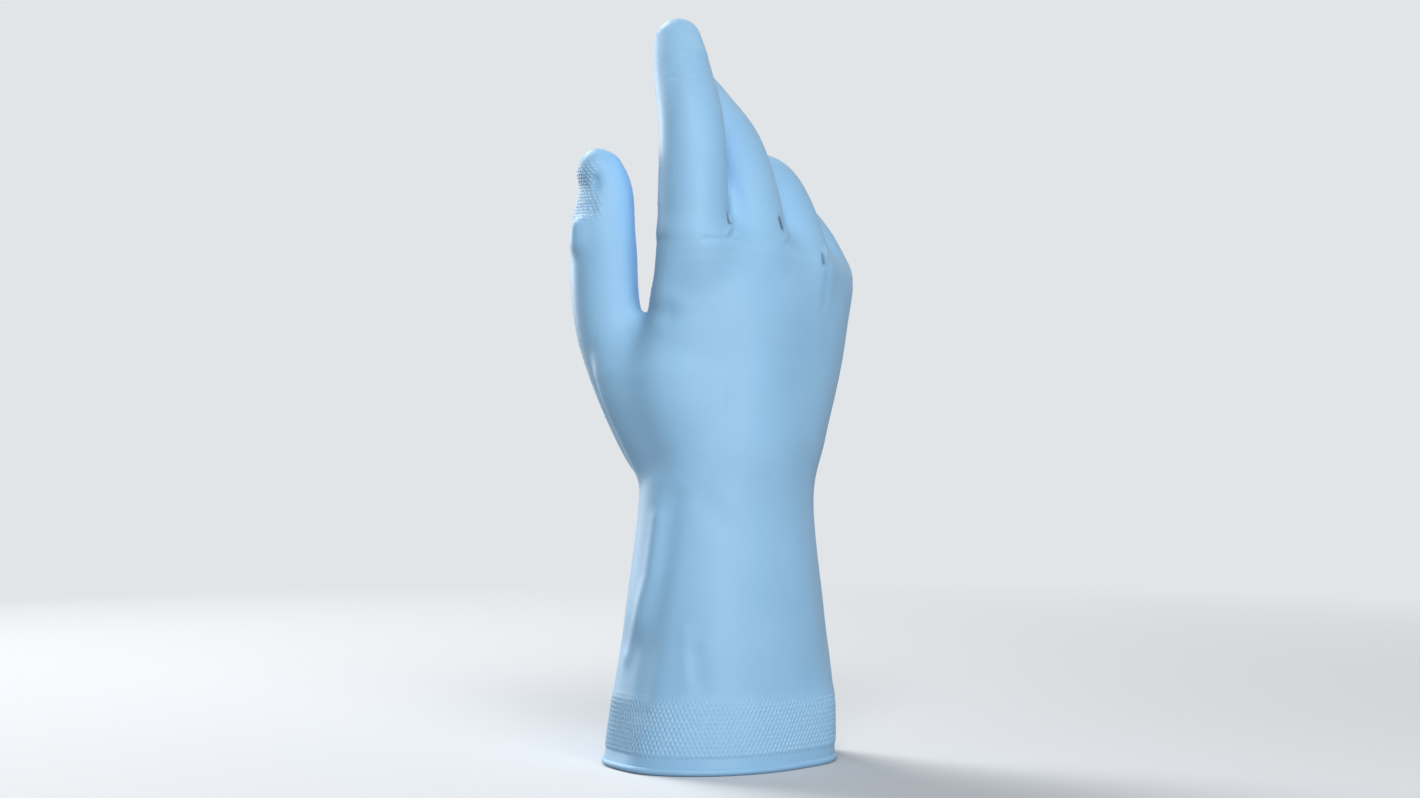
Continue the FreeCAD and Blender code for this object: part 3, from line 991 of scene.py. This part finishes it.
def diamond_height(turns, z):
    """Two families of ridges a and b joined without a step, 1 - (1 - a)(1 - b), where each is
    cos^4 of half the phase 2 pi (N turns +- z / period), fading at both edges of the band."""
    band = smooth_step(z, BAND_LOW - 0.4, BAND_LOW + 0.8)
    band = band * (1 - smooth_step(z, BAND_HIGH - 7, BAND_HIGH))
    a = np.cos(np.pi * (DIAMONDS_ROUND * turns + z / DIAMOND_HEIGHT)) ** 4
    b = np.cos(np.pi * (DIAMONDS_ROUND * turns - z / DIAMOND_HEIGHT)) ** 4
    return band * (1 - (1 - a) * (1 - b))


def grid_quads(rows, columns):
    """Quads of a tube whose rows go upward and whose columns go round; they face outward."""
    r, c = np.meshgrid(np.arange(rows - 1), np.arange(columns), indexing="ij")
    a, b = (r * columns + c).ravel(), (r * columns + (c + 1) % columns).ravel()
    return np.stack([a, b, b + columns, a + columns], 1)


def tube_rims(outer_count, inner_count, columns):
    """Quads that close a double tube at its foot and its top, the inner tube's points coming
    after the outer tube's."""
    ring, ring2 = np.arange(columns), np.roll(np.arange(columns), -1)
    top, inner_top = outer_count - columns, outer_count + inner_count - columns
    foot = np.stack([ring2, ring, ring + outer_count, ring2 + outer_count], 1)
    head = np.stack([ring + top, ring2 + top, ring2 + inner_top, ring + inner_top], 1)
    return np.concatenate([foot, head])


print(DIAMONDS_ROUND, "diamonds round the opening")

# %% The gauntlet's film
COLUMNS_PER_DIAMOND = 5
BAND_ROW, BELOW_ROWS, ABOVE_ROWS, INNER_ROWS = 0.45, 6, 44, 22
OVERLAP, TUCK_FROM, TUCK_DEPTH = 2.5, 0.3, 0.12
columns = DIAMONDS_ROUND * COLUMNS_PER_DIAMOND
turns = np.arange(columns) / columns
angles = ring_angles(columns)
outer_levels = np.concatenate(
    [
        np.linspace(HEM_LEVEL - 0.6, BAND_LOW - 2 * BAND_ROW, BELOW_ROWS),
        np.arange(BAND_LOW - BAND_ROW, BAND_HIGH, BAND_ROW),
        np.linspace(BAND_HIGH + 1.2, GAUNTLET_TOP + OVERLAP, ABOVE_ROWS),
    ]
)
outer = on_skin(angles, outer_levels)
outer_slope = slope_of(film_distance, outer)[0]
row_turns, row_levels = np.tile(turns, len(outer_levels)), np.repeat(outer_levels, columns)
# the gauntlet's top is tucked just under the hand, so the two skins don't flicker
tuck = TUCK_DEPTH * smooth_step(row_levels, GAUNTLET_TOP + TUCK_FROM, GAUNTLET_TOP + OVERLAP)
diamonds = diamond_height(row_turns, row_levels)
outer += (RIDGE_HEIGHT * diamonds - tuck)[:, None] * outer_slope
inner_levels = np.linspace(outer_levels[0], outer_levels[-1], INNER_ROWS)
inner = on_skin(angles, inner_levels, FILM_WALL)
outer_quads = grid_quads(len(outer_levels), columns)
inner_quads = grid_quads(len(inner_levels), columns)[:, ::-1] + len(outer)
rims = tube_rims(len(outer), len(inner), columns)
outer_normals = point_normals(outer, [outer_quads])
smooth = np.repeat(outer_levels > PLAIN_FROM, columns)
outer_normals[smooth] = outer_slope[smooth]
inner_normals = -slope_of(film_distance, inner)[0]
# the ridges' tops get a painted highlight
gauntlet = make_piece(
    "latex_gauntlet",
    np.concatenate([outer, inner]),
    [outer_quads, inner_quads, rims],
    np.concatenate([outer_normals, inner_normals]),
    {"top_highlight": np.append(RIDGE_HIGHLIGHT * diamonds, np.zeros(len(inner)))},
)
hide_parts("gauntlet_film")
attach(gauntlet, "root")
film_pieces.append(gauntlet)

# %% [markdown]
# ## The rolled bead
#
# Before the latex is cured, its edge is rolled up on itself into a bead. It keeps the opening
# round and stops tears, and the standing glove rests on it. A bevelled curve would do, but it
# wouldn't know the hem. Here a circle is carried round the hem as the field gives it, with its
# centre held a little inside the skin and at its own radius above the floor.

# %% The bead
bead_columns, bead_sides = 360, 20
hem = on_skin(ring_angles(bead_columns), [HEM_LEVEL])
hem_slope = slope_of(film_distance, hem)[0]
outward = hem_slope * [1, 1, 0]
outward /= np.linalg.norm(outward, axis=1, keepdims=True)
around = np.arange(bead_sides) * 2 * np.pi / bead_sides
roll = hem - BEAD_INSET * outward
roll[:, 2] = BEAD_RADIUS
bead_points = (
    roll[None]
    + BEAD_RADIUS * np.cos(around)[:, None, None] * outward[None]
    + BEAD_RADIUS * np.sin(around)[:, None, None] * np.array([0.0, 0.0, 1.0])
).reshape(-1, 3)
side, column = np.meshgrid(np.arange(bead_sides), np.arange(bead_columns), indexing="ij")
next_side, next_column = (side + 1) % bead_sides, (column + 1) % bead_columns
bead_quads = np.stack(
    [
        side * bead_columns + column,
        side * bead_columns + next_column,
        next_side * bead_columns + next_column,
        next_side * bead_columns + column,
    ],
    -1,
).reshape(-1, 4)
bead = make_piece("rolled_bead", bead_points, [bead_quads])
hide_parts("cuff_bead")
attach(bead, "root")
film_pieces.append(bead)

# %% [markdown]
# ## The flock lining
#
# Inside the film is a thin pale layer of cotton flock, blown onto the latex while it is wet, so
# that the glove slips on and takes up sweat. It follows the film's inner side a hair's breadth
# away. Moving the film's points inwards would fold the lining up in the slots between fingers.
# So it comes from the same field, taken a little deeper, which can't cross itself.

# %% The lining of the hand
LINING_DEPTH = FILM_WALL + LINING_CLEARANCE
LINING_ROUNDS, LINING_MOVE = 3, 0.8


def lining_distance(p):
    """The film's field, plus the depth of the lining's outer side."""
    return film_distance(p) + LINING_DEPTH


lining_step = 2.0
low = SKIN_LOW * [1, 1, 0] + [0, 0, GAUNTLET_TOP - lining_step / 2]
lining_points, lining_quads = surface_net(
    sample_field(lining_distance, low, SKIN_HIGH, lining_step), low, lining_step
)
lining_normals = slope_of(film_distance, lining_points)[0]
for _ in range(LINING_ROUNDS):
    move = np.clip(lining_distance(lining_points), -LINING_MOVE, LINING_MOVE)
    lining_points -= move[:, None] * lining_normals
    lining_normals = slope_of(film_distance, lining_points)[0]
rim = border_edges(lining_quads)
first = len(lining_points)
hand_lining = make_piece(
    "flock_hand",
    np.concatenate([lining_points, lining_points - LINING_WALL * lining_normals]),
    [
        lining_quads,
        lining_quads[:, ::-1] + first,
        np.stack([rim[:, 1], rim[:, 0], rim[:, 0] + first, rim[:, 1] + first], 1),
    ],
    np.concatenate([lining_normals, -lining_normals]),
)
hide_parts(*[name + "_lining" for name in REGIONS])

# %% The lining of the gauntlet
LINING_COLUMNS, LINING_ROWS = 180, 40
angles = ring_angles(LINING_COLUMNS)
levels = np.linspace(HEM_LEVEL + 0.6, GAUNTLET_TOP - 0.2, LINING_ROWS)
lining_outer = on_skin(angles, levels, LINING_DEPTH)
lining_inner = on_skin(angles, levels, LINING_DEPTH + LINING_WALL)
quads = grid_quads(LINING_ROWS, LINING_COLUMNS)
first = len(lining_outer)
rims = tube_rims(first, len(lining_inner), LINING_COLUMNS)
gauntlet_lining = make_piece(
    "flock_gauntlet",
    np.concatenate([lining_outer, lining_inner]),
    [quads, quads[:, ::-1] + first, rims],
)
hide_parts("gauntlet_lining")
lining_pieces = [hand_lining, gauntlet_lining]
for piece in lining_pieces:
    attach(piece, "root")
print(round(time.time() - started, 1), "s")


# %% [markdown]
# ## A short way to write shaders
#
# A shader is a graph of nodes, and a graph is slow to read as code. Sums are written here as
# ordinary arithmetic, through a small class that wraps a socket and adds a Math node for each
# operator. Every other node comes from one method, so a material reads as a list of what it mixes.


# %% Arithmetic on sockets
class Wire:
    """A shader socket that can be added to, subtracted from and multiplied."""

    def __init__(self, tree, socket):
        self.tree, self.socket = tree, socket

    def maths(self, operation, *values):
        """A Math node of this operation on the values, which are numbers or wires."""
        node = self.tree.nodes.new("ShaderNodeMath")
        node.operation = operation
        for slot, value in zip(node.inputs, values):
            if isinstance(value, Wire):
                self.tree.links.new(value.socket, slot)
            else:
                slot.default_value = value
        return Wire(self.tree, node.outputs[0])

    def __add__(self, other):
        return self.maths("ADD", self, other)

    def __radd__(self, other):
        return self.maths("ADD", other, self)

    def __sub__(self, other):
        return self.maths("SUBTRACT", self, other)

    def __rsub__(self, other):
        return self.maths("SUBTRACT", other, self)

    def __mul__(self, other):
        return self.maths("MULTIPLY", self, other)

    def __rmul__(self, other):
        return self.maths("MULTIPLY", other, self)

    def larger(self, other):
        """The larger of the two."""
        return self.maths("MAXIMUM", self, other)


print("wires can be added, subtracted, multiplied and compared")


# %% Nodes and materials
class Nodes:
    """A node tree, with a short way to add any node to it."""

    def __init__(self, tree):
        self.tree = tree

    def node(self, kind, output=0, settings=None, sockets=None, **inputs):
        """Adds a node: its settings first, then the values or wires of its sockets, which go by
        name or, where names repeat, by number."""
        node = self.tree.nodes.new(kind)
        for key, value in (settings or {}).items():
            setattr(node, key, value)
        for key, value in {**(sockets or {}), **inputs}.items():
            self.feed(node.inputs[key], value)
        return Wire(self.tree, node.outputs[output])

    def feed(self, slot, value):
        """Links a wire to the slot, or sets the slot to a value."""
        if isinstance(value, Wire):
            self.tree.links.new(value.socket, slot)
        else:
            slot.default_value = value

    def mix(self, share, a, b):
        """The colour a (1 - share) + b share."""
        return self.node("ShaderNodeMix", 2, {"data_type": "RGBA"}, {0: share, 6: a, 7: b})


class Material(Nodes):
    """A material with one Principled BSDF."""

    def __init__(self, name):
        self.material = bpy.data.materials.new(name)
        self.material.use_nodes = True
        super().__init__(self.material.node_tree)
        self.shader = self.tree.nodes["Principled BSDF"]

    def set(self, **inputs):
        """Feeds the Principled BSDF's own sockets, with _ for each space in a name."""
        for key, value in inputs.items():
            self.feed(self.shader.inputs[key.replace("_", " ")], value)

    def blend_surface(self, share, other):
        """Mixes another shader over the Principled BSDF, by share."""
        own = Wire(self.tree, self.shader.outputs[0])
        mixed = self.node("ShaderNodeMixShader", sockets={0: share, 1: own, 2: other})
        self.feed(self.tree.nodes["Material Output"].inputs["Surface"], mixed)


def linear(red, green, blue):
    """sRGB 0 to 255 as the linear colour a shader takes: c / 12.92 in the darks and
    ((c + 0.055) / 1.055)^2.4 above."""
    c = np.array([red, green, blue]) / 255
    c = np.where(c <= 0.04045, c / 12.92, ((c + 0.055) / 1.055) ** 2.4)
    return (*c.tolist(), 1.0)


print("middle grey is", round(linear(128, 128, 128)[0], 3), "to a shader")


# %% [markdown]
# ## The latex
#
# Dipped and washed latex is sky blue and matt, a little uneven in colour where the film is
# thicker, and has a soft bloom like powder. One flat blue would look like paint. Here a slow
# cloud shifts the colour by a shade, a fine grain breaks up the highlights through the bump, and
# a thin sheen gives the bloom. A highlight is painted paler on the tops of the pebbles and
# ridges, and shade is painted dark into the pits between the fingers.


# %% Latex
def latex_material():
    """Sky blue: colour = mix of two tones by 1.4 (cloud - 0.5) + 0.5 (grain - 0.5) + 0.5, then a
    painted highlight, paler by 0.6 times the pebbles' and ridges' height, then painted shade,
    darker by the pits' depth; roughness = 0.5 + 0.12 (cloud - 0.5)."""
    m = Material("latex_film")
    place = m.node("ShaderNodeTexCoord", output="Object")
    cloud = m.node("ShaderNodeTexNoise", Vector=place, Scale=38.0, Detail=3.0, Roughness=0.55)
    grain = m.node("ShaderNodeTexNoise", Vector=place, Scale=1400.0, Detail=2.0, Roughness=0.6)
    share = (cloud - 0.5) * 1.4 + (grain - 0.5) * 0.5 + 0.5
    colour = m.mix(share, linear(143, 191, 228), linear(151, 199, 235))
    top_highlight = m.node("ShaderNodeAttribute", output="Fac", settings={"attribute_name": "top_highlight"})
    pit_shade = m.node("ShaderNodeAttribute", output="Fac", settings={"attribute_name": "pit_shade"})
    # a painted highlight on the tops of the pebbles and ridges
    colour = m.mix(top_highlight * 0.6, colour, linear(192, 222, 244))
    # painted shade in the pits between the fingers
    colour = m.mix(pit_shade, colour, linear(30, 56, 80))
    bump = m.node("ShaderNodeBump", Height=grain, Strength=0.25, Distance=0.0002)
    m.set(Base_Color=colour, Roughness=(cloud - 0.5) * 0.12 + 0.5, Normal=bump)
    m.set(Specular_IOR_Level=0.35, Sheen_Weight=0.12, Sheen_Roughness=0.5)
    return m.material


latex = latex_material()
for piece in film_pieces:
    piece.data.materials.append(latex)
print("latex on", len(film_pieces), "pieces with", len(latex.node_tree.nodes), "nodes")


# %% [markdown]
# ## The flock
#
# Cotton flock is a felt of short fibres standing on end: pale, very rough, and a shade lighter
# where it is seen at a slant. Fibres would be far too many, so a fine noise stands for them in
# the colour and the bump, and a sheen lights the slant.


# %% Flock
def flock_material():
    """Pale grey-blue: colour and bump follow one fine noise, fuzz."""
    m = Material("flock_lining")
    place = m.node("ShaderNodeTexCoord", output="Object")
    fuzz = m.node("ShaderNodeTexNoise", Vector=place, Scale=1800.0, Detail=3.0, Roughness=0.7)
    colour = m.mix(fuzz, linear(214, 220, 224), linear(240, 244, 246))
    bump = m.node("ShaderNodeBump", Height=fuzz, Strength=0.6, Distance=0.0003)
    m.set(Base_Color=colour, Roughness=0.95, Normal=bump, Sheen_Weight=0.3)
    return m.material


flock = flock_material()
for piece in lining_pieces:
    piece.data.materials.append(flock)
print("flock on", len(lining_pieces), "pieces with", len(flock.node_tree.nodes), "nodes")

# %% [markdown]
# ## The view
#
# The glove is looked at from the thumb's side of its back, level with its middle. Places for the
# lamps and the camera are easiest to think of from there: across the view, towards the camera and
# up. So three directions are worked out once, and everything round the glove uses them.

# %% Directions of the view
VIEW_TURN = math.radians(-38)
MIDDLE_HEIGHT = 0.147
back = np.array([math.sin(VIEW_TURN), -math.cos(VIEW_TURN), 0.0])
right = np.array([math.cos(VIEW_TURN), math.sin(VIEW_TURN), 0.0])
up = np.array([0.0, 0.0, 1.0])
middle = np.array([0.0, 0.0, MIDDLE_HEIGHT])


def seen(across, towards, height):
    """A place in metres from the glove's middle:
    middle + across * right + towards * back + height * up."""
    return middle + across * right + towards * back + height * up


print("towards the camera:", back.round(3), "across:", right.round(3))

# %% [markdown]
# ## The lamps
#
# Matt latex shows its form by slow changes of tone, so the lamps are large, soft discs. The key
# stands in front on the right and a second one high in front, and together they light the back of
# the hand. Two more stand behind on the left, one level and one high. They draw the bright rims
# down the thumb, the index finger and the cuff, which part the glove from a pale ground.


# %% Four soft lamps
def soft_light(name, place, size, power):
    """A round lamp in place, size metres across, facing the glove's middle."""
    data = bpy.data.lights.new(name, "AREA")
    data.shape, data.size, data.energy = "DISK", size, power
    lamp = bpy.data.objects.new(name, data)
    lamp.location = place
    lamp.rotation_euler = (Vector(middle) - Vector(place)).to_track_quat("-Z", "Y").to_euler()
    bpy.context.scene.collection.objects.link(lamp)
    return lamp


# name, across, towards, up, size in metres and power in watts
LAMPS = [
    ("key_light", 0.64, 1.28, 0.25, 0.7, 10.5),
    ("high_light", 0.0, 1.025, 1.025, 0.7, 8.8),
    ("edge_light", -1.11, -0.93, 0.25, 0.6, 11),
    ("back_light", -0.659, -0.785, 1.025, 0.7, 14),
]
for name, across, towards, height, size, power in LAMPS:
    lamp = soft_light(name, seen(across, towards, height), size, power)
    print(lamp.name, [round(x, 2) for x in lamp.location], power, "W")

# %% [markdown]
# ## The floor
#
# A plain pale floor catches the shadow that seats the glove. Seen by the lamps' light alone it
# would darken into the distance and end in a line. So, for the camera only, it fades to an even
# pale glow with the distance, which meets the backdrop without an edge. For light that bounces up
# to the glove it stays a mid grey, or it would wash out the underside.

# %% Floor
floor_mesh = bpy.data.meshes.new("floor")
FLOOR_HALF = 3
corners = [(x * FLOOR_HALF, y * FLOOR_HALF, 0) for x, y in ((-1, -1), (1, -1), (1, 1), (-1, 1))]
floor_mesh.from_pydata(corners, [], [(0, 1, 2, 3)])
floor = bpy.data.objects.new("floor", floor_mesh)
bpy.context.scene.collection.objects.link(floor)
PALE, MID_GREY = linear(226, 229, 232), linear(160, 162, 164)
FADE_FROM, FADE_TO = 0.25, 0.9
floor_look = Material("pale_floor")
place = floor_look.node("ShaderNodeTexCoord", output="Object")
away = floor_look.node("ShaderNodeVectorMath", "Value", {"operation": "LENGTH"}, Vector=place)
camera_ray = floor_look.node("ShaderNodeLightPath", output="Is Camera Ray")
floor_look.set(Base_Color=floor_look.mix(camera_ray, MID_GREY, PALE))
floor_look.set(Roughness=0.8, Specular_IOR_Level=0.1)
glow = floor_look.node("ShaderNodeEmission", Color=PALE)
fade = {"Value": away, "From Min": FADE_FROM, "From Max": FADE_TO}
far = floor_look.node("ShaderNodeMapRange", sockets=fade)
floor_look.blend_surface(far * camera_ray, glow)
floor_mesh.materials.append(floor_look.material)
floor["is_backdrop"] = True
print("the floor fades from", FADE_FROM, "to", FADE_TO, "m")

# %% [markdown]
# ## The backdrop
#
# The world is the backdrop. What the camera sees of it, and what a glossy or clear surface
# mirrors of it, is the same pale tone as the floor. The light it casts on the glove is only a
# faint grey fill, because the four lamps do the lighting.

# %% Backdrop
FILL = (0.08, 0.08, 0.08, 1)
world = bpy.data.worlds.new("studio")
bpy.context.scene.world = world
world.use_nodes = True
backdrop = Nodes(world.node_tree)
rays = [
    backdrop.node("ShaderNodeLightPath", f"Is {kind} Ray")
    for kind in ("Camera", "Glossy", "Transmission")
]
shown = rays[0].larger(rays[1]).larger(rays[2])
backdrop.feed(world.node_tree.nodes["Background"].inputs["Color"], backdrop.mix(shown, FILL, PALE))
print("the backdrop has", len(world.node_tree.nodes), "nodes")

# %% [markdown]
# ## The camera
#
# A long lens from just under a metre shows the glove with little perspective, so that its sides
# keep their true slopes. The lens is moved sideways by a hair, which sets the glove a little right
# of the middle without turning the camera.

# %% Camera
LENS, SENSOR = 57.77, 36.0
CAMERA_DISTANCE = 0.930
SIDEWAYS = -9 / 1420
camera_data = bpy.data.cameras.new("camera")
camera_data.lens, camera_data.sensor_width = LENS, SENSOR
camera_data.shift_x = SIDEWAYS
camera = bpy.data.objects.new("camera", camera_data)
camera.location = middle + CAMERA_DISTANCE * back
camera.rotation_euler = Vector(-back).to_track_quat("-Z", "Y").to_euler()
bpy.context.scene.collection.objects.link(camera)
bpy.context.scene.camera = camera
bpy.context.scene.view_settings.view_transform = "Standard"
print("the camera is at", [round(x, 3) for x in camera.location])

# %% [markdown]
# ## Sizes and finish
#
# The box of what is shown is printed at the end.

# %% Boxes and finish
low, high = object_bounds()
print("visual box in mm:", [round(1000 * x, 1) for x in (*low, *high)])
print(round(time.time() - started, 1), "s in all")
